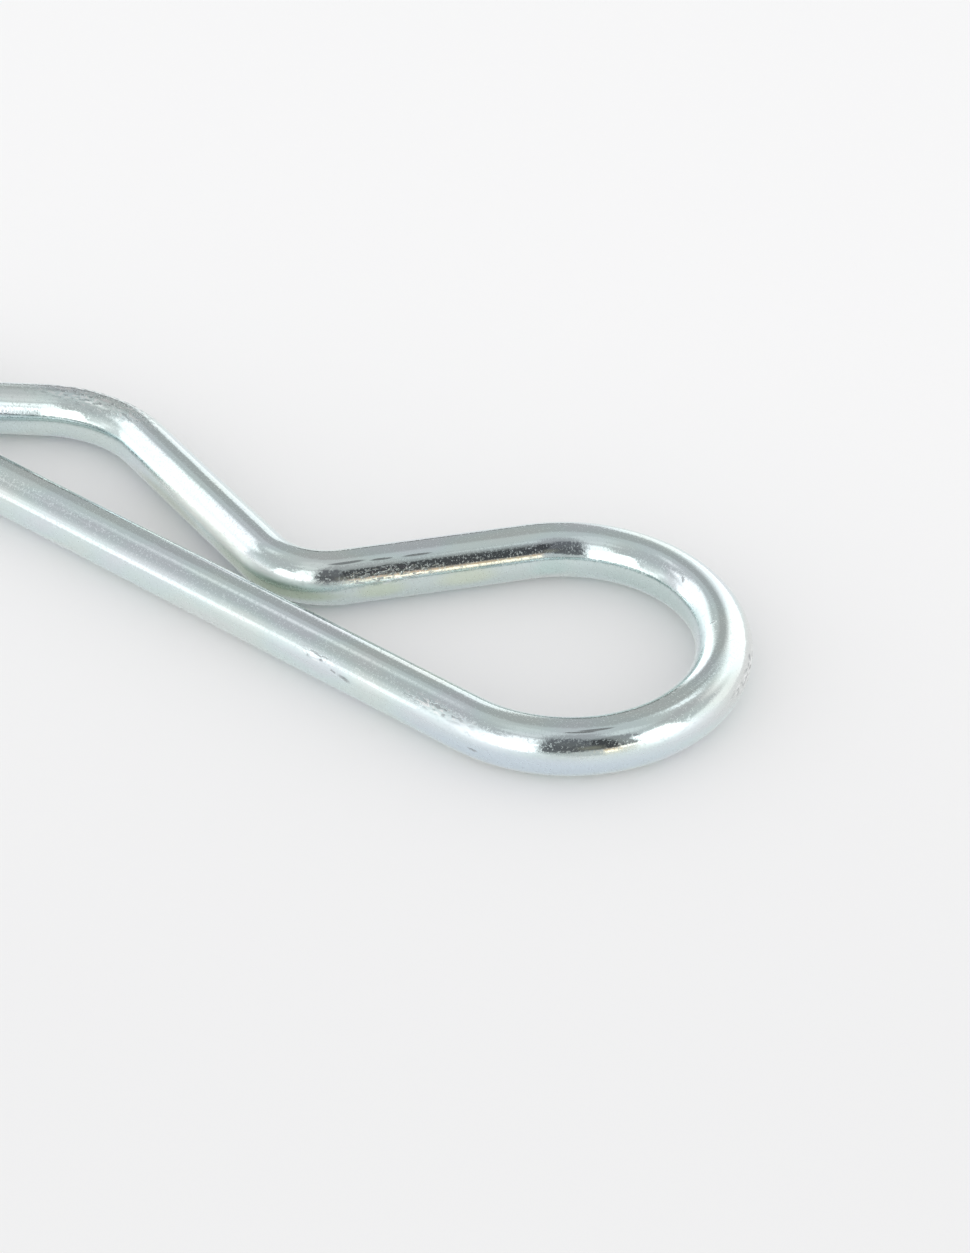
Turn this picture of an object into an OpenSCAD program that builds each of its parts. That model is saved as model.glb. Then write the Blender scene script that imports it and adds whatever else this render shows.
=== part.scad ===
// Hitch R clip: one length of round spring wire, bent flat.
// The straight leg passes through a cross hole in a shaft, and the wavy leg grips the shaft from outside.
// Origin: on the straight leg's axis, where the gripped shaft's axis crosses it.
// +X points along the straight leg to the eye, +Y to the wavy leg, +Z square to the clip's plane.

/* [Wire] */
// Diameter of the plated spring wire
wire_d = 4; // [3:0.1:4.8]
// Loss of diameter where the wire is drawn round a bend
draw_down = 0.02; // [0.02:0.02:0.2]

/* [Eye] */
// Inside diameter of the round eye
eye_inner_d = 18; // [15:0.5:24]
// Angle through which the wire turns round the eye
eye_turn = 231; // [222:1:240]

/* [Crimps] */
// Open gap between the two legs at both crimps
crimp_gap = 1.2; // [0.8:0.1:2.4]
// Inside radius of the crimp beside the eye
eye_crimp_inner_r = 3.7; // [2.5:0.1:5]
// Inside radius of the crimp before the flared tip
tip_crimp_inner_r = 2.8; // [2:0.1:4]

/* [Bow] */
// Diameter of the shaft that the bow sits on
shaft_d = 18; // [16:0.5:24]
// Slope of the wavy leg between the crimp beside the eye and the bow
rise_angle = 17; // [15:1:24]
// Slope of the wavy leg between the bow and the crimp before the tip
fall_angle = 34; // [28:1:40]

/* [Tips] */
// Reach of the straight leg beyond the shaft's axis
leg_reach = 20; // [16:0.5:28]
// Length of the blunt point on the straight leg
point_length = 1.6; // [0.8:0.1:2.4]
// Diameter of the flat end of the blunt point
point_d = 2; // [1.2:0.1:2.6]
// Slope at which the wavy leg's tip flares away from the straight leg
flare_angle = 30; // [20:1:40]
// Straight length of the flared tip, with its cropped end
flare_length = 6; // [4:0.5:10]
// Size of the small chamfer on the cropped end
crop_chamfer = 0.4; // [0.2:0.1:0.8]

/* [Hidden] */
$fn = 72;

// Radii of the wire's centre line
wire_r = wire_d / 2;
eye_r = eye_inner_d / 2 + wire_r;
eye_crimp_r = eye_crimp_inner_r + wire_r;
tip_crimp_r = tip_crimp_inner_r + wire_r;
bow_r = shaft_d / 2 + wire_r;

// Distance between the two legs' centre lines at the crimps
crimp_y = wire_d + crimp_gap;

// Slope at which the wire comes back from the eye to its crimp
dive_angle = eye_turn - 180;

// Straight stretches, as long as the bends at their ends leave them
dive_drop = eye_r * (1 + cos(dive_angle)) - eye_crimp_r * (1 - cos(dive_angle)) - crimp_y;
dive_length = dive_drop / sin(dive_angle);
rise_height = bow_r - crimp_y - (eye_crimp_r + bow_r) * (1 - cos(rise_angle));
rise_length = rise_height / sin(rise_angle);
fall_height = bow_r - crimp_y - (tip_crimp_r + bow_r) * (1 - cos(fall_angle));
fall_length = fall_height / sin(fall_angle);

// Distance along the straight leg from the shaft's axis to the start of the eye
rise_run = (eye_crimp_r + bow_r) * sin(rise_angle) + rise_length * cos(rise_angle);
dive_run = (eye_r + eye_crimp_r) * sin(dive_angle) + dive_length * cos(dive_angle);
eye_x = rise_run + dive_run;

// Radius of the wire in the bends, where forming draws it down a little
bent_r = wire_r - draw_down / 2;

// Length by which each straight stretch runs into the bend beside it
seat = 0.05;

// A straight stretch along +X, with whatever follows it set at its far end.
// It runs on into the bends at its ends, unless the seat there is set to 0.
module straight(length, seat_before = seat, seat_after = seat) {
    translate([-seat_before, 0, 0])
        rotate([0, 90, 0])
            cylinder(r = wire_r, h = seat_before + length + seat_after);
    translate([length, 0, 0])
        children();
}

// A bend that starts along +X and turns left, or right when the turn is negative
module bend(line_r, turn) {
    side = sign(turn);
    translate([0, side * line_r, 0]) {
        rotate_extrude(start = side > 0 ? -90 : 90 + turn, angle = abs(turn))
            translate([line_r, 0])
                circle(r = bent_r);
        rotate([0, 0, turn])
            translate([0, -side * line_r, 0])
                children();
    }
}

// A tapered end along +X, from one diameter to another
module taper(from_d, to_d, length) {
    rotate([0, 90, 0])
        cylinder(d1 = from_d, d2 = to_d, h = length);
    translate([length, 0, 0])
        children();
}

// The whole clip, followed along the wire from the straight leg's point to the flared tip
module clip() {
    color([0.78, 0.81, 0.83])
        translate([-leg_reach, 0, 0])
            taper(point_d, wire_d, point_length)
            straight(leg_reach + eye_x - point_length, seat_before = 0)
            bend(eye_r, eye_turn)
            straight(dive_length)
            bend(eye_crimp_r, -dive_angle - rise_angle)
            straight(rise_length)
            bend(bow_r, rise_angle + fall_angle)
            straight(fall_length)
            bend(tip_crimp_r, -fall_angle - flare_angle)
            straight(flare_length - crop_chamfer, seat_after = 0)
            taper(wire_d, wire_d - 2 * crop_chamfer, crop_chamfer);
}

clip();
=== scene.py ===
from collections import namedtuple
from math import cos, pi, radians, sin

import bpy
import numpy as np
from mathutils import Matrix, Vector


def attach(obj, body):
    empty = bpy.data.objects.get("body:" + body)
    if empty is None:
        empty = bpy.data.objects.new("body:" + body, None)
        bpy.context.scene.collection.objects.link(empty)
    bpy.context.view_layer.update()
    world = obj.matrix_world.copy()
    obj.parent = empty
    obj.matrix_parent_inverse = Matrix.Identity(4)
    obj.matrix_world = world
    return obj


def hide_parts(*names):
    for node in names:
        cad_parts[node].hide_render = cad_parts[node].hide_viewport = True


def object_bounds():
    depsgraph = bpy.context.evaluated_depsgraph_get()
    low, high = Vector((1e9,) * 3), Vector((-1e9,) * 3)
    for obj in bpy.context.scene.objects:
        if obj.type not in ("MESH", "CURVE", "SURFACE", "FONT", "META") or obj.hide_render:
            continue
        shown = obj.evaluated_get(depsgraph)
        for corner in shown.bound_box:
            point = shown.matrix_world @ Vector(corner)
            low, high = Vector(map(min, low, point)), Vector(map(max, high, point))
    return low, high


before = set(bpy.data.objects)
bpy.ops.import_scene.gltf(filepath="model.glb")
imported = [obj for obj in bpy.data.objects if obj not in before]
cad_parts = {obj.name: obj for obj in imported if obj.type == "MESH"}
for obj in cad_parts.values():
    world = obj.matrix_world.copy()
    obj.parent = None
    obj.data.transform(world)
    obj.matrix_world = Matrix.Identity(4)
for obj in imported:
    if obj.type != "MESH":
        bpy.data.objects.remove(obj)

CAD_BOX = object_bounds()
MM = 0.001

# The clip's dimensions, as in its CAD source
WIRE_D = 4 * MM
WIRE_R = WIRE_D / 2
DRAW_DOWN = 0.02 * MM
EYE_R = 11 * MM
EYE_TURN = 231
EYE_CRIMP_R = 5.7 * MM
TIP_CRIMP_R = 4.8 * MM
BOW_R = 11 * MM
CRIMP_Y = 5.2 * MM
RISE_ANGLE = 17
FALL_ANGLE = 34
FLARE_ANGLE = 30
FLARE_LENGTH = 6 * MM
LEG_REACH = 20 * MM
POINT_LENGTH = 1.6 * MM
POINT_D = 2 * MM
CROP_CHAMFER = 0.4 * MM

# The straight stretches between the bends, as long as the bends leave them
DIVE_ANGLE = EYE_TURN - 180
DIVE_DROP = EYE_R * (1 + cos(radians(DIVE_ANGLE))) - EYE_CRIMP_R * (1 - cos(radians(DIVE_ANGLE))) - CRIMP_Y
DIVE_LENGTH = DIVE_DROP / sin(radians(DIVE_ANGLE))
RISE_HEIGHT = BOW_R - CRIMP_Y - (EYE_CRIMP_R + BOW_R) * (1 - cos(radians(RISE_ANGLE)))
RISE_LENGTH = RISE_HEIGHT / sin(radians(RISE_ANGLE))
FALL_HEIGHT = BOW_R - CRIMP_Y - (TIP_CRIMP_R + BOW_R) * (1 - cos(radians(FALL_ANGLE)))
FALL_LENGTH = FALL_HEIGHT / sin(radians(FALL_ANGLE))
RISE_RUN = (EYE_CRIMP_R + BOW_R) * sin(radians(RISE_ANGLE)) + RISE_LENGTH * cos(radians(RISE_ANGLE))
DIVE_RUN = (EYE_R + EYE_CRIMP_R) * sin(radians(DIVE_ANGLE)) + DIVE_LENGTH * cos(radians(DIVE_ANGLE))
LEG_LENGTH = LEG_REACH + RISE_RUN + DIVE_RUN

# The wire from the straight leg's point to the flared tip: length, and turn in degrees, left positive
Stretch = namedtuple("Stretch", "length turn")


def straight(length):
    return Stretch(length, 0)


def bend(radius, turn):
    return Stretch(radius * radians(abs(turn)), turn)


WIRE = (
    straight(LEG_LENGTH),
    bend(EYE_R, EYE_TURN),
    straight(DIVE_LENGTH),
    bend(EYE_CRIMP_R, -DIVE_ANGLE - RISE_ANGLE),
    straight(RISE_LENGTH),
    bend(BOW_R, RISE_ANGLE + FALL_ANGLE),
    straight(FALL_LENGTH),
    bend(TIP_CRIMP_R, -FALL_ANGLE - FLARE_ANGLE),
    straight(FLARE_LENGTH),
)
WIRE_LENGTH = sum(part.length for part in WIRE)

# The mesh: the gap between rings along the wire, and the points round each ring
RING_STEP = 0.17 * MM
RING_POINTS = 92

# The rounds on the edges of the wire's two ends, and the points along each
EDGE_ROUND = 0.12 * MM
EDGE_POINTS = 5

# Length over which the wire thins at each end of a bend
BEND_BLEND = 1.5 * MM

# A ring this little before the start of a stretch still counts as in it
START_SLACK = 1e-9 * MM

# The mesh keeps each point's place in the wire under this name: along the wire, to its left, and up
PLACE_NAME = "wire_place"

# Rows that the wire is cut into for its baking map, and the gap between them
ROWS = 4
ROW_GAP = 0.5 * MM

# Marks in the surface. Each lies at a distance along the wire from the straight leg's point,
# and at an angle round it from the side that faces into the eye, by way of the top.
Mark = namedtuple("Mark", "along angle length width tilt")
MARKS = (
    Mark(53.7 * MM, 168, 1.05 * MM, 0.30 * MM, 8),
    Mark(52.7 * MM, 164, 0.50 * MM, 0.16 * MM, 12),
    Mark(60.4 * MM, 131, 0.55 * MM, 0.17 * MM, 20),
    Mark(64.6 * MM, 183, 0.60 * MM, 0.18 * MM, 5),
    Mark(85.5 * MM, 156, 0.45 * MM, 0.35 * MM, 10),
    Mark(87.8 * MM, 66, 0.50 * MM, 0.20 * MM, 70),
    Mark(93.8 * MM, 55, 0.55 * MM, 0.18 * MM, 35),
)

# A mark's depth as a share of its width, and how far out its dent is worked out, in sizes of the mark
MARK_SLOPE = 0.07
MARK_REACH = 2.5

# Fine lines scored along the wire where it slid through the bending tool
LINES = (
    Mark(120.9 * MM, 66, 3.0 * MM, 0.24 * MM, -1.5),
    Mark(118.5 * MM, 64, 2.0 * MM, 0.19 * MM, 1),
    Mark(115.9 * MM, 63, 2.6 * MM, 0.18 * MM, 0),
    Mark(72.0 * MM, 108.8, 2.8 * MM, 0.19 * MM, -1),
    Mark(71.0 * MM, 112.5, 2.4 * MM, 0.11 * MM, 0),
)

# Patches are placed in the same way. Each has a length along the wire and a spread round it, in degrees.
Patch = namedtuple("Patch", "along angle length spread colour", defaults=[None])

# Scuffed patches, with dark and pale flecks
SCUFFS = (
    Patch(61.5 * MM, 133, 7.5 * MM, 34),
    Patch(84.4 * MM, 166, 7.0 * MM, 30),
    Patch(51.0 * MM, 150, 4.0 * MM, 30),
    Patch(118.0 * MM, 30, 10.0 * MM, 50),
    Patch(6.0 * MM, 100, 12.0 * MM, 120),
    Patch(150.0 * MM, 100, 16.0 * MM, 120),
)

# Patches where the plate is duller
DULL_PATCHES = (
    Patch(130.0 * MM, 20, 28.0 * MM, 46),
    Patch(88.0 * MM, 40, 12.0 * MM, 34),
    Patch(50.0 * MM, 162, 34.0 * MM, 30),
    Patch(63.0 * MM, 146, 9.0 * MM, 64),
    Patch(68.0 * MM, 166, 10.0 * MM, 30),
    Patch(78.0 * MM, 159, 13.0 * MM, 34),
)

# Patches where the plate has another colour: most are painted light rather than film, as marked below. A
# later one lies over those before it.
FILM_AND_PAINTED_LIGHT_PATCHES = (
    # Painted shade: darker, greener plate on the side of the dive, crimp and rise that faces the straight leg
    Patch(116.0 * MM, -14, 34 * MM, 100, (0.63, 0.71, 0.70)),
    Patch(127.5 * MM, -4, 13 * MM, 75, (0.58, 0.66, 0.58)),
    Patch(138.0 * MM, -12, 14 * MM, 60, (0.57, 0.63, 0.57)),
    # Painted highlight: near-white plate on the rise's side that faces the straight leg
    Patch(132.0 * MM, 24, 25 * MM, 36, (0.94, 0.95, 0.91)),
    # More painted shade, darker and greener, on the crimp, the dive and the inner side of the eye's end
    Patch(124.5 * MM, -6, 8 * MM, 44, (0.49, 0.57, 0.47)),
    Patch(118.8 * MM, -2, 5 * MM, 60, (0.62, 0.70, 0.60)),
    Patch(112.5 * MM, 0, 6 * MM, 60, (0.66, 0.73, 0.63)),
    Patch(106.0 * MM, -4, 5 * MM, 60, (0.60, 0.73, 0.71)),
    Patch(96.0 * MM, -4, 24 * MM, 80, (0.60, 0.70, 0.69)),
    # Painted reflection tints: bluish on the outer lower side where the straight leg runs into the eye,
    # greyer on the eye's outer side
    Patch(68.0 * MM, 192, 24 * MM, 80, (0.65, 0.735, 0.80)),
    Patch(86.0 * MM, 166, 19 * MM, 95, (0.705, 0.725, 0.715)),
)

# Colours that the film runs through elsewhere, each at its level of the film's pattern
FILM = (
    (0.36, (0.710, 0.768, 0.798)),
    (0.45, (0.695, 0.785, 0.798)),
    (0.52, (0.695, 0.793, 0.788)),
    (0.60, (0.708, 0.790, 0.772)),
    (0.70, (0.728, 0.780, 0.772)),
)

# Patterns in the plate: cells per metre, amount of finer detail, how many times longer the cells are
# along the wire than across it, and how far they lean, in radians
Pattern = namedtuple("Pattern", "cells detail stretch lean")
FILM_PATTERN = Pattern(380, 1.5, 2.5, 0)
GRAIN_PATTERN = Pattern(6600, 1.0, 1, 0)
LINE_PATTERN = Pattern(4200, 2.0, 20, 0)
FLECK_PATTERN = Pattern(4800, 1.5, 2.5, 0.35)
RAGGED_PATTERN = Pattern(9000, 1.0, 1, 0)

# Levels of a pattern at which something starts to show and shows in full
SPECK_LEVELS = (0.50, 0.70)
LINE_LEVELS = (0.3, 0.7)
DARK_FLECK_LEVELS = (0.55, 0.62)
PALE_FLECK_LEVELS = (0.44, 0.38)

# Shares of a mark's, line's or patch's half size at which it starts to fade and is gone
MARK_FADE = (0.5, 1.4)
LINE_FADE = (0.5, 1.0)
PATCH_FADE = (0.3, 1.0)

# Width over which the marks' ragged edges wander
RAGGED_WIDTH = 0.25 * MM

# Colours of pale flecks, worn places and scored lines, and how much of the last two shows
FLECK_COLOUR = (0.90, 0.92, 0.92, 1)
WORN_COLOUR = (0.33, 0.35, 0.36, 1)
SCORED_COLOUR = (0.20, 0.22, 0.22, 1)
WORN_SHARE = 0.7
SCORED_SHARE = 0.6

# Roughness of the plate between the drawn lines and on them, and what specks, wear and dull patches add
PLATE_ROUGHNESS = (0.06, 0.10)
SPECK_ROUGHNESS = 0.23
WORN_ROUGHNESS = 0.20
DULL_ROUGHNESS = 0.30

# Depths of the drawn lines, the grain and the wear
LINE_DEPTH = 0.002 * MM
GRAIN_DEPTH = 0.0028 * MM
WORN_DEPTH = 0.012 * MM

# The camera, at the photograph's viewing angle. Angles are in degrees, lens and sensor in millimetres.
VIEW_AZIMUTH = 38.2538
VIEW_HEIGHT = 38.309
VIEW_DISTANCE = 210.46 * MM
VIEW_TARGET = Vector((37.386, 9.008, 0)) * MM
VIEW_SIDE = (sin(radians(VIEW_AZIMUTH)), -cos(radians(VIEW_AZIMUTH)), 0)
LENS = 111.16
SENSOR = 36
NEAREST_SEEN = 10 * MM
FARTHEST_SEEN = 20.0

# The studio. A panel is a patch of even light or shade in the far surroundings, given by the middle,
# half size and soft edge of its azimuth and its height, in degrees. Azimuth 0 lies along -Y, in front,
# and 90 along +X, on the right.
# A later panel lies over those before it.
Panel = namedtuple("Panel", "azimuth half_width side_blur height half_height top_blur colour")
ROOM = (0.627, 0.642, 0.645)
PANELS = (
    # Dimmer and paler stretches of the room, most of them high up
    Panel(50, 50, 30, 74, 12, 10, (0.46, 0.46, 0.47)),
    Panel(-146, 18, 8, 34, 30, 10, (0.48, 0.48, 0.48)),
    Panel(-50, 68, 22, 84, 10, 8, (0.76, 0.775, 0.775)),
    Panel(-45, 32, 14, 56, 12, 12, (0.575, 0.575, 0.585)),
    Panel(-9, 23, 12, 70, 6, 6, (0.84, 0.85, 0.85)),
    Panel(105, 22, 14, 68, 7, 6, (0.80, 0.82, 0.82)),
    Panel(137, 22, 12, 52, 8, 10, (0.54, 0.54, 0.55)),
    # Pale walls, and white strips on them high up and low down
    Panel(-97, 9, 14, 57, 3, 5, (1.00, 1.00, 1.00)),
    Panel(165, 20, 12, 34, 12, 10, (0.90, 0.90, 0.88)),
    Panel(180, 10, 6, 55, 4.5, 5, (1.20, 1.24, 1.27)),
    Panel(137, 28, 15, 6, 18, 12, (1.16, 1.16, 1.14)),
    Panel(-45, 20, 12, 18, 14, 18, (0.88, 0.88, 0.88)),
    Panel(-154, 8, 6, 4, 6, 4, (1.35, 1.35, 1.35)),
    Panel(-153, 6, 1.5, 15, 8, 4, (1.15, 1.15, 1.15)),
    # White soft boxes: two small ones at the front left, two on the left, one behind, one on the right,
    # and two in front
    Panel(-30, 11, 5, 7, 8, 12, (1.50, 1.50, 1.50)),
    Panel(-44, 5, 4, 19, 4, 6, (1.15, 1.15, 1.15)),
    Panel(-96, 35, 7, 7, 16, 16, (1.80, 1.80, 1.80)),
    Panel(-86, 20, 14, 31, 15.5, 8, (1.45, 1.45, 1.45)),
    Panel(181, 24, 22, 16, 24, 10, (1.45, 1.45, 1.45)),
    Panel(95, 14, 6, 20, 27, 8, (2.20, 2.20, 2.20)),
    Panel(-1, 21, 4, 22, 18, 6, (2.20, 2.20, 2.20)),
    Panel(6.5, 11, 6, 48, 11, 14, (1.40, 1.40, 1.40)),
    # The dark side around the camera and to its right
    Panel(60.5, 13.5, 6, 42, 20, 10, (0.075, 0.075, 0.08)),
    Panel(38, 15.5, 5, 50, 20, 10, (0.17, 0.17, 0.185)),
    Panel(35.5, 12.5, 4, 40, 16, 10, (0.17, 0.17, 0.18)),
    Panel(35.5, 12.5, 4, 30, 12, 6, (0.13, 0.13, 0.14)),
    Panel(32, 8.5, 4, 20, 6.5, 7, (0.16, 0.16, 0.17)),
    Panel(52, 7, 7, 31, 6, 10, (0.24, 0.23, 0.20)),
    Panel(76, 5, 4, 42, 22, 8, (0.33, 0.33, 0.33)),
    Panel(84, 7, 5, 54, 9, 6, (0.34, 0.34, 0.35)),
    # Warm lamps low in that dark side
    Panel(65, 6.5, 3, 17, 5, 8, (0.70, 0.50, 0.34)),
    Panel(63, 4.5, 2.5, 4, 6, 4, (1.00, 0.95, 0.84)),
    Panel(63, 4.5, 2.5, 11, 4, 5, (1.85, 1.62, 1.30)),
    Panel(74, 6, 5, 8, 6, 5, (0.90, 0.86, 0.80)),
    Panel(75, 7, 5, 20, 3.5, 4, (1.80, 1.70, 1.55)),
    # A dark gap at the foot of the wall opposite the camera
    Panel(-138, 6, 4, 3, 4, 3, (0.20, 0.20, 0.20)),
)

# The backdrop past the floor, and the floor's colour on its far side and on its near side, which is darker as
# painted shade
BACKDROP = (0.90, 0.90, 0.905, 1)
FLOOR_FAR = (0.915, 0.915, 0.92, 1)
FLOOR_NEAR_PAINTED_SHADE = (0.860, 0.860, 0.865, 1)

# How far the change of the floor's colour, a painted shade, reaches on either side of the camera's target,
# and the floor's side
FLOOR_FADE = 50 * MM
FLOOR_SIZE = 4.0

# The share of plain white in the floor where the metal mirrors it
FLOOR_GLOW = 0.33
WHITE = (1, 1, 1, 1)

# The sky that lights the floor: its strength overhead, how much is added towards the horizon,
# how much of that moves to the camera's side, and the power by which it grows
SKY_LIGHT = 0.765
SKY_LOW = 2.0
SKY_FRONT = 1.2
SKY_POWER = 2.0

# The places of the colours among a mix node's sockets
MIX_FIRST = 6
MIX_SECOND = 7
MIX_RESULT = 2


def follow_wire(along):
    """The wire's centre points and headings at these distances from the straight leg's point."""
    place = np.array([-LEG_REACH, 0.0])
    heading = 0.0
    start = 0.0
    points = np.zeros((len(along), 2))
    headings = np.zeros(len(along))
    for part in WIRE:
        here = along >= start - START_SLACK
        run = along[here] - start
        curve = radians(part.turn) / part.length
        if part.turn:
            turned = heading + curve * run
            end_heading = heading + radians(part.turn)
            points[here] = place + arc_step(heading, turned, curve)
            end = place + arc_step(heading, np.array([end_heading]), curve)[0]
        else:
            turned = np.full(len(run), heading)
            end_heading = heading
            forward = np.array([cos(heading), sin(heading)])
            points[here] = place + run[:, None] * forward
            end = place + part.length * forward
        headings[here] = turned
        place = end
        heading = end_heading
        start += part.length
    return points, headings


def arc_step(heading, turned, curve):
    """Moves along an arc of that curvature, from one heading to others."""
    return np.stack([np.sin(turned) - sin(heading), cos(heading) - np.cos(turned)], 1) / curve


def rounded(corners, radius):
    """The corners of an outline, each inner one replaced by a small round."""
    steps = np.linspace(0, 1, EDGE_POINTS)[:, None]
    out = [corners[0]]
    for before, corner, after in zip(corners, corners[1:], corners[2:]):
        start = corner + (before - corner) * radius / np.linalg.norm(before - corner)
        end = corner + (after - corner) * radius / np.linalg.norm(after - corner)
        out.extend((1 - steps) ** 2 * start + 2 * steps * (1 - steps) * corner + steps**2 * end)
    out.append(corners[-1])
    return np.array(out)


def ring_profile():
    """Distance along the wire and radius of every ring, from the blunt point to the cropped end."""
    corners = np.array([
        (0, 0),
        (0, POINT_D / 2),
        (POINT_LENGTH, WIRE_R),
        (WIRE_LENGTH - CROP_CHAMFER, WIRE_R),
        (WIRE_LENGTH, WIRE_R - CROP_CHAMFER),
        (WIRE_LENGTH, 0),
    ])
    outline = rounded(corners, EDGE_ROUND)
    rings = [outline[0]]
    for before, after in zip(outline, outline[1:]):
        gap = np.linalg.norm(after - before)
        parts = max(1, round(gap / RING_STEP))
        rings.extend(before + (after - before) * k / parts for k in range(1, parts + 1))
    # The first and the last are the middles of the two end faces, and have no ring
    rings = np.array(rings)
    along = rings[1:-1, 0]
    radius = rings[1:-1, 1]
    return along, radius - DRAW_DOWN / 2 * share_bent(along)


def share_bent(along):
    """1 inside the bends, 0 on the straights, with a soft change between them."""
    bent = np.zeros(len(along))
    start = 0.0
    for part in WIRE:
        if part.turn:
            inside = np.minimum(along - start, start + part.length - along)
            ramp = np.clip(inside / BEND_BLEND, 0, 1)
            bent = np.maximum(bent, ramp * ramp * (3 - 2 * ramp))
        start += part.length
    return bent


def press(mark, along, angle):
    """How deep the mark goes at each point, as a share of its depth."""
    forward = along[:, None] - mark.along
    round_wire = np.angle(np.exp(1j * (angle[None] - radians(mark.angle)))) * WIRE_R
    lean = radians(mark.tilt)
    u = (forward * cos(lean) + round_wire * sin(lean)) / (mark.length / 2)
    v = (round_wire * cos(lean) - forward * sin(lean)) / (mark.width / 2)
    return np.exp(-(u**2) - v**2)


def wire_mesh(name):
    """The whole clip as one swept mesh, with the place along and round the wire kept for its material."""
    along, radius = ring_profile()
    angle = np.linspace(0, 2 * pi, RING_POINTS, endpoint=False)
    centres, headings = follow_wire(along)
    depth = np.zeros((len(along), RING_POINTS))
    for mark in MARKS:
        near = abs(along - mark.along) < MARK_REACH * max(mark.length, mark.width)
        depth[near] += MARK_SLOPE * mark.width * press(mark, along[near], angle)
    r = radius[:, None] - depth
    left = r * np.cos(angle)
    up = r * np.sin(angle)
    leftward = np.stack([-np.sin(headings), np.cos(headings)], 1)
    rim = np.zeros((len(along), RING_POINTS, 3))
    rim[..., :2] = centres[:, None] + left[..., None] * leftward[:, None]
    rim[..., 2] = up
    ends = np.array([[*centres[0], 0], [*centres[-1], 0]])
    points = np.concatenate([rim.reshape(-1, 3), ends])

    mesh = bpy.data.meshes.new(name)
    mesh.from_pydata(points.tolist(), [], wire_faces(len(along)))
    mesh.shade_smooth()
    place = np.zeros_like(points)
    place[:-2, 0] = np.repeat(along, RING_POINTS)
    place[:-2, 1] = left.ravel()
    place[:-2, 2] = up.ravel()
    place[-1, 0] = WIRE_LENGTH
    layer = mesh.attributes.new(PLACE_NAME, "FLOAT_VECTOR", "POINT")
    layer.data.foreach_set("vector", place.astype(np.float32).ravel())
    mesh.uv_layers.new(name="OFBake").data.foreach_set("uv", bake_places(along))
    return mesh


def wire_faces(rings):
    """Quads between neighbouring rings, and a fan at each end."""
    first = np.arange(RING_POINTS)
    second = np.roll(first, -1)
    faces = []
    for ring in range(rings - 1):
        low = ring * RING_POINTS
        high = low + RING_POINTS
        faces.extend(np.stack([low + first, low + second, high + second, high + first], 1).tolist())
    start_middle = np.full(RING_POINTS, rings * RING_POINTS)
    end_middle = start_middle + 1
    last = (rings - 1) * RING_POINTS
    faces.extend(np.stack([start_middle, second, first], 1).tolist())
    faces.extend(np.stack([end_middle, last + first, last + second], 1).tolist())
    return faces


def bake_places(along):
    """Places for baking: the wire cut into rows of equal length, opened out one above the other."""
    row_length = WIRE_LENGTH / ROWS
    row_height = 2 * pi * WIRE_R + ROW_GAP
    low = along[:-1]
    high = along[1:]
    row = np.minimum((low + high) / 2 // row_length, ROWS - 1)
    left = (low - row * row_length + ROW_GAP)[:, None]
    right = (high - row * row_length + ROW_GAP)[:, None]
    turn = np.arange(RING_POINTS + 1) / RING_POINTS * 2 * pi
    height = row[:, None] * row_height + ROW_GAP / 2 + turn * WIRE_R
    quads = np.zeros((len(low), RING_POINTS, 4, 2))
    quads[:, :, :2, 0] = left[..., None]
    quads[:, :, 2:, 0] = right[..., None]
    quads[:, :, 0, 1] = height[:, :-1]
    quads[:, :, 1, 1] = height[:, 1:]
    quads[:, :, 2, 1] = height[:, 1:]
    quads[:, :, 3, 1] = height[:, :-1]
    # The small discs at the two ends lie beside the rows
    rim = RING_STEP * np.stack([np.cos(turn), np.sin(turn)], 1)
    discs = np.zeros((2, RING_POINTS, 3, 2))
    discs[0, :, 1] = rim[1:]
    discs[0, :, 2] = rim[:-1]
    discs[1, :, 1] = rim[:-1]
    discs[1, :, 2] = rim[1:]
    discs[..., 0] += row_length + 4 * ROW_GAP
    discs[0, ..., 1] += row_height / 2
    discs[1, ..., 1] += row_height * 3 / 2
    places = np.concatenate([quads.reshape(-1, 2), discs.reshape(-1, 2)])
    return (places / (ROWS * row_height)).astype(np.float32).ravel()


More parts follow.
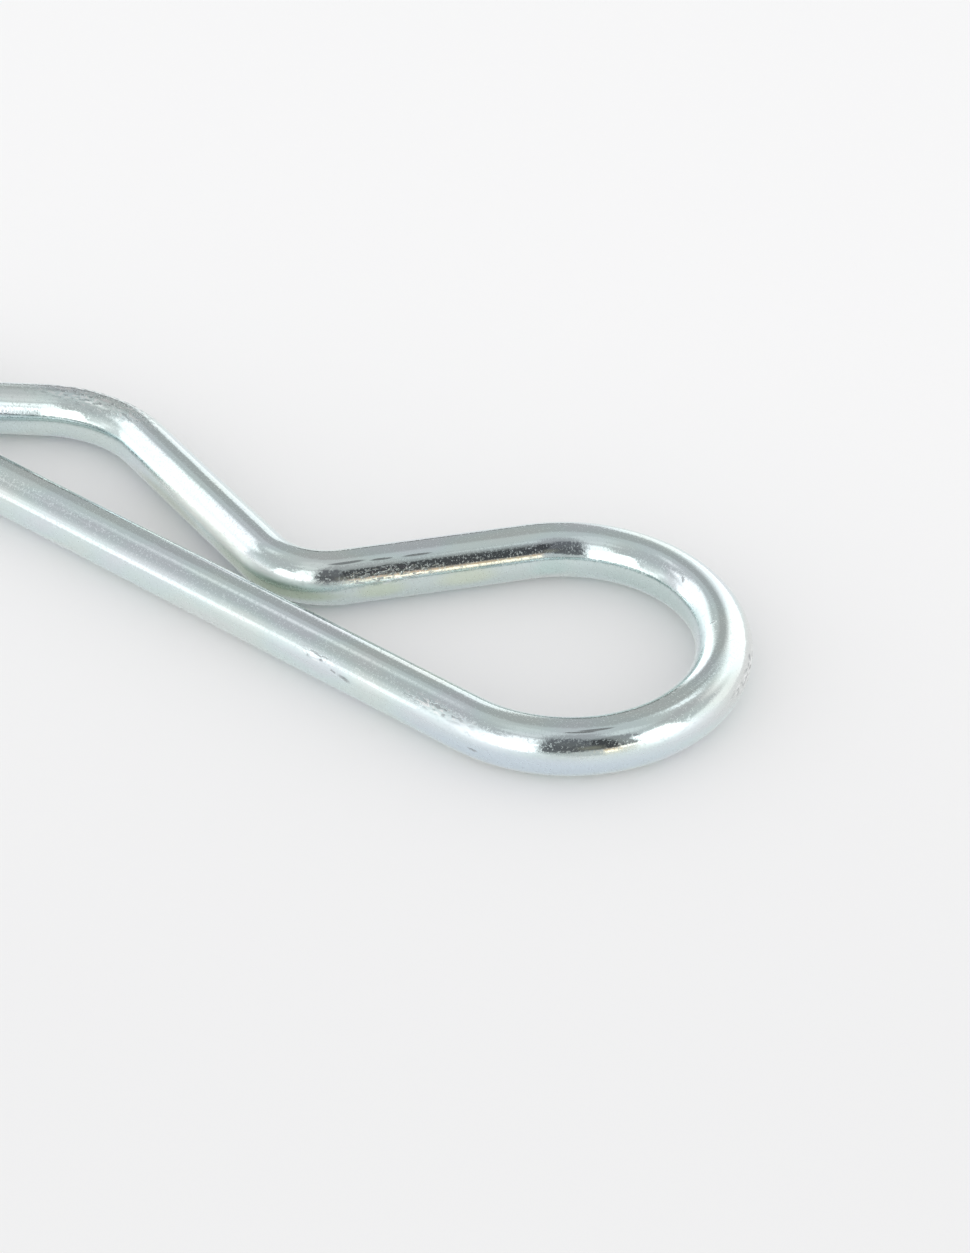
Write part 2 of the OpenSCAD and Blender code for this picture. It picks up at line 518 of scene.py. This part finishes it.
class Nodes:
    """Short calls for building a node tree."""

    def __init__(self, tree):
        self.tree = tree
        tree.nodes.clear()

    def set(self, socket, value):
        """Gives an input a value or another node's output. None leaves it as it is."""
        if isinstance(value, bpy.types.NodeSocket):
            self.tree.links.new(value, socket)
        elif value is not None:
            socket.default_value = value

    def add(self, kind, *inputs, out=0, **settings):
        """An output of a new node of this kind, with these settings and first inputs."""
        node = self.tree.nodes.new(kind)
        for name, value in settings.items():
            setattr(node, name, value)
        for socket, value in zip(node.inputs, inputs):
            self.set(socket, value)
        return node.outputs[out] if node.outputs else node

    def add_named(self, kind, inputs):
        """The first output of a new node of this kind, with inputs given by name."""
        out = self.add(kind)
        for name, value in inputs.items():
            self.set(out.node.inputs[name], value)
        return out

    def math(self, operation, *values):
        return self.add("ShaderNodeMath", *values, operation=operation)

    def vector(self, operation, *values, out="Vector"):
        return self.add("ShaderNodeVectorMath", *values, out=out, operation=operation)

    def largest(self, values):
        """The largest of some values from 0 up."""
        top = 0.0
        for value in values:
            top = self.math("MAXIMUM", value, top)
        return top

    def ramp(self, value, low, high, to_low=0.0, to_high=1.0):
        """A soft step from to_low at low to to_high at high."""
        return self.add(
            "ShaderNodeMapRange", value, low, high, to_low, to_high, interpolation_type="SMOOTHSTEP"
        )

    def band(self, offset, half, blur):
        """1 within half of the middle, falling to 0 over the soft edge."""
        return self.ramp(self.math("ABSOLUTE", offset), half - blur / 2, half + blur / 2, 1.0, 0.0)

    def mix(self, share, first, second):
        """The first colour where the share is 0, and the second where it is 1."""
        node = self.tree.nodes.new("ShaderNodeMix")
        node.data_type = "RGBA"
        self.set(node.inputs[0], share)
        self.set(node.inputs[MIX_FIRST], first)
        self.set(node.inputs[MIX_SECOND], second)
        return node.outputs[MIX_RESULT]

    def colours(self, value, stops):
        """A colour that runs through these stops as the value rises."""
        out = self.add("ShaderNodeValToRGB", value)
        run = out.node.color_ramp.elements
        while len(run) < len(stops):
            run.new(0.5)
        for element, (position, colour) in zip(run, stops):
            element.position = position
            element.color = (*colour, 1)
        return out

    def pattern(self, place, pattern, out=0):
        """The level of a pattern at this place in the wire, or its colour."""
        lean = (0, 0, pattern.lean)
        local = self.add("ShaderNodeMapping", place, None, lean, (1 / pattern.stretch, 1, 1))
        return self.add("ShaderNodeTexNoise", local, None, pattern.cells, pattern.detail, out=out)

    def spot(self, place, centre, width, tilt, fade):
        """1 in the middle of an ellipse on the wire's surface, fading to 0 outwards."""
        angle = radians(centre.angle)
        middle = (centre.along, WIRE_R * cos(angle), WIRE_R * sin(angle))
        lie = Matrix.Rotation(radians(centre.angle + 90), 3, "X") @ Matrix.Rotation(radians(tilt), 3, "Z")
        # Its third size is its depth, enough to hold the wire's curve
        size = (centre.length / 2, width / 2, max(width / 2, WIRE_R / 2))
        local = self.add("ShaderNodeMapping", place, middle, lie.to_euler(), size, vector_type="TEXTURE")
        return self.ramp(self.vector("LENGTH", local, out="Value"), *fade, 1.0, 0.0)

    def mark(self, place, mark, fade):
        """1 inside a mark or a scored line, fading to 0 at its edge."""
        return self.spot(place, mark, mark.width, mark.tilt, fade)

    def patch(self, place, patch):
        """1 in the middle of a patch, fading to 0 at its edge."""
        return self.spot(place, patch, WIRE_R * radians(patch.spread), 0, PATCH_FADE)

    def bump(self, height, depth, under):
        """The surface's normal with this height on it, depth metres from 0 to 1, over another normal."""
        return self.add_named("ShaderNodeBump", {"Distance": depth, "Height": height, "Normal": under})


def new_material(name):
    """A new material, and calls for building its nodes."""
    material = bpy.data.materials.new(name)
    material.use_nodes = True
    return material, Nodes(material.node_tree)


def new_object(name, data):
    """A new object in the scene that shows this data."""
    made = bpy.data.objects.new(name, data)
    bpy.context.collection.objects.link(made)
    return made


def film_and_painted_light(nodes, place):
    """The colours of the film on the plate, in slow patches drawn out along the wire, with patches of painted
    shade, painted highlight and painted reflection tint over them.
    """
    tint = nodes.colours(nodes.pattern(place, FILM_PATTERN), FILM)
    # Patches of painted shade, highlight and reflection tint over the film
    for patch in FILM_AND_PAINTED_LIGHT_PATCHES:
        tint = nodes.mix(nodes.patch(place, patch), tint, (*patch.colour, 1))
    return tint


def nicks(nodes, place):
    """1 inside the marks, which have ragged edges."""
    ragged = nodes.pattern(place, RAGGED_PATTERN, out="Color")
    # A pattern's colour lies round 0.5, so this shift goes either way
    shift = nodes.vector("ADD", ragged, (-0.5, -0.5, -0.5))
    shift = nodes.vector("SCALE", shift, None, None, RAGGED_WIDTH)
    ragged_place = nodes.vector("ADD", place, shift)
    return nodes.largest(nodes.mark(ragged_place, mark, MARK_FADE) for mark in MARKS)


def zinc():
    """Bright zinc plate with a faint rainbow film over drawn wire, and patches of painted shade, painted
    highlight and painted reflection tint in its colour.
    """
    material, nodes = new_material("zinc_plated_steel")
    place = nodes.add("ShaderNodeAttribute", attribute_name=PLACE_NAME, out="Vector")

    # Lines left along the wire by the drawing die, and rough specks in the fine grain of the plate
    lines = nodes.pattern(place, LINE_PATTERN)
    grain = nodes.pattern(place, GRAIN_PATTERN)
    specks = nodes.ramp(grain, *SPECK_LEVELS)

    # Wear: nicks, scored lines, and flecks in the scuffed patches
    scored = nodes.largest(nodes.mark(place, line, LINE_FADE) for line in LINES)
    scuffed = nodes.largest(nodes.patch(place, patch) for patch in SCUFFS)
    flecks = nodes.pattern(place, FLECK_PATTERN)
    dark = nodes.math("MULTIPLY", scuffed, nodes.ramp(flecks, *DARK_FLECK_LEVELS))
    pale = nodes.math("MULTIPLY", scuffed, nodes.ramp(flecks, *PALE_FLECK_LEVELS))
    wear = nodes.largest((nicks(nodes, place), scored, dark))

    # The film's colour with its patches of painted shade, highlight and reflection tint, and pale flecks over
    # it
    tint = nodes.mix(pale, film_and_painted_light(nodes, place), FLECK_COLOUR)
    tint = nodes.mix(nodes.math("MULTIPLY", wear, WORN_SHARE), tint, WORN_COLOUR)
    tint = nodes.mix(nodes.math("MULTIPLY", scored, SCORED_SHARE), tint, SCORED_COLOUR)

    roughness = nodes.ramp(lines, *LINE_LEVELS, *PLATE_ROUGHNESS)
    roughness = nodes.math("MULTIPLY_ADD", specks, SPECK_ROUGHNESS, roughness)
    roughness = nodes.math("MULTIPLY_ADD", wear, WORN_ROUGHNESS, roughness)
    for patch in DULL_PATCHES:
        roughness = nodes.math("MULTIPLY_ADD", nodes.patch(place, patch), DULL_ROUGHNESS, roughness)

    drawn = nodes.bump(lines, LINE_DEPTH, None)
    grained = nodes.bump(grain, GRAIN_DEPTH, drawn)
    worn = nodes.bump(nodes.math("MULTIPLY", wear, -1), WORN_DEPTH, grained)

    shader = nodes.add_named("ShaderNodeBsdfPrincipled", {
        "Base Color": tint,
        "Metallic": 1.0,
        "Roughness": roughness,
        "Normal": worn,
    })
    nodes.add("ShaderNodeOutputMaterial", shader)
    return material


def clip():
    """The dressed clip, in place of its CAD solid."""
    mesh = wire_mesh("r_clip")
    mesh.materials.append(zinc())
    piece = new_object("r_clip", mesh)
    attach(piece, "root")
    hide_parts("clip")


def floor():
    """A plain pale floor under the clip, a little darker towards the camera as painted shade."""
    half = FLOOR_SIZE / 2
    low = CAD_BOX[0][2]
    mesh = bpy.data.meshes.new("floor")
    corners = [(-half, -half, low), (half, -half, low), (half, half, low), (-half, half, low)]
    mesh.from_pydata(corners, [], [(0, 1, 2, 3)])
    material, nodes = new_material("floor")
    # Painted shade: the floor's colour darkens towards the camera
    spot = nodes.add("ShaderNodeTexCoord", out="Object")
    offset = nodes.vector("SUBTRACT", spot, VIEW_TARGET)
    nearer = nodes.vector("DOT_PRODUCT", offset, VIEW_SIDE, out="Value")
    sheet = nodes.add_named("ShaderNodeBsdfPrincipled", {
        "Base Color": nodes.mix(nodes.ramp(nearer, -FLOOR_FADE, FLOOR_FADE), FLOOR_FAR, FLOOR_NEAR_PAINTED_SHADE),
        "Roughness": 1.0,
        "Specular IOR Level": 0.0,
    })
    glow = nodes.add("ShaderNodeEmission", WHITE, 1.0)
    share = nodes.math("MULTIPLY", nodes.add("ShaderNodeLightPath", out="Is Glossy Ray"), FLOOR_GLOW)
    nodes.add("ShaderNodeOutputMaterial", nodes.add("ShaderNodeMixShader", share, sheet, glow))
    mesh.materials.append(material)
    plane = new_object("floor", mesh)


def surroundings():
    """What the metal mirrors, the sky that lights the floor, and the backdrop that the camera sees."""
    world = bpy.data.worlds.new("studio")
    world.use_nodes = True
    world.cycles.sampling_method = "NONE"
    bpy.context.scene.world = world
    nodes = Nodes(world.node_tree)
    direction = nodes.add("ShaderNodeTexCoord")
    parts = nodes.add("ShaderNodeSeparateXYZ", direction).node.outputs

    azimuth = nodes.math("DEGREES", nodes.math("ARCTAN2", parts["X"], nodes.math("MULTIPLY", parts["Y"], -1)))
    height = nodes.math("DEGREES", nodes.math("ARCSINE", parts["Z"]))
    light = (*ROOM, 1)
    for panel in PANELS:
        aside = nodes.math("SUBTRACT", azimuth, panel.azimuth)
        above = nodes.math("SUBTRACT", height, panel.height)
        # A panel that reaches past 180 degrees goes on from -180
        if abs(panel.azimuth) + panel.half_width + panel.side_blur > 180:
            aside = nodes.math("WRAP", aside, 180, -180)
        across = nodes.band(aside, panel.half_width, panel.side_blur)
        upright = nodes.band(above, panel.half_height, panel.top_blur)
        light = nodes.mix(nodes.math("MULTIPLY", across, upright), light, (*panel.colour, 1))

    facing = nodes.vector("DOT_PRODUCT", direction, VIEW_SIDE, out="Value")
    low = nodes.math("POWER", nodes.math("SUBTRACT", 1.0, parts["Z"]), SKY_POWER)
    low = nodes.math("MULTIPLY", low, nodes.math("MULTIPLY_ADD", facing, SKY_FRONT, SKY_LOW))
    strength = nodes.math("MULTIPLY_ADD", low, SKY_LIGHT, SKY_LIGHT)

    studio = nodes.add("ShaderNodeBackground", light)
    sky = nodes.add("ShaderNodeBackground", WHITE, strength)
    plain = nodes.add("ShaderNodeBackground", BACKDROP)
    rays = nodes.add("ShaderNodeLightPath").node.outputs
    seen = nodes.add("ShaderNodeMixShader", rays["Is Diffuse Ray"], studio, sky)
    seen = nodes.add("ShaderNodeMixShader", rays["Is Camera Ray"], seen, plain)
    nodes.add("ShaderNodeOutputWorld", seen)


def camera():
    """The photograph's view: from the eye's end and above."""
    height = radians(VIEW_HEIGHT)
    back = Vector((VIEW_SIDE[0] * cos(height), VIEW_SIDE[1] * cos(height), sin(height)))
    data = bpy.data.cameras.new("camera")
    data.sensor_fit = "HORIZONTAL"
    data.sensor_width = SENSOR
    data.lens = LENS
    data.clip_start = NEAREST_SEEN
    data.clip_end = FARTHEST_SEEN
    viewer = new_object("camera", data)
    viewer.location = VIEW_TARGET + back * VIEW_DISTANCE
    viewer.rotation_euler = back.to_track_quat("Z", "Y").to_euler()
    bpy.context.scene.camera = viewer


camera()
floor()
surroundings()
clip()
bpy.context.scene.view_settings.view_transform = "Standard"
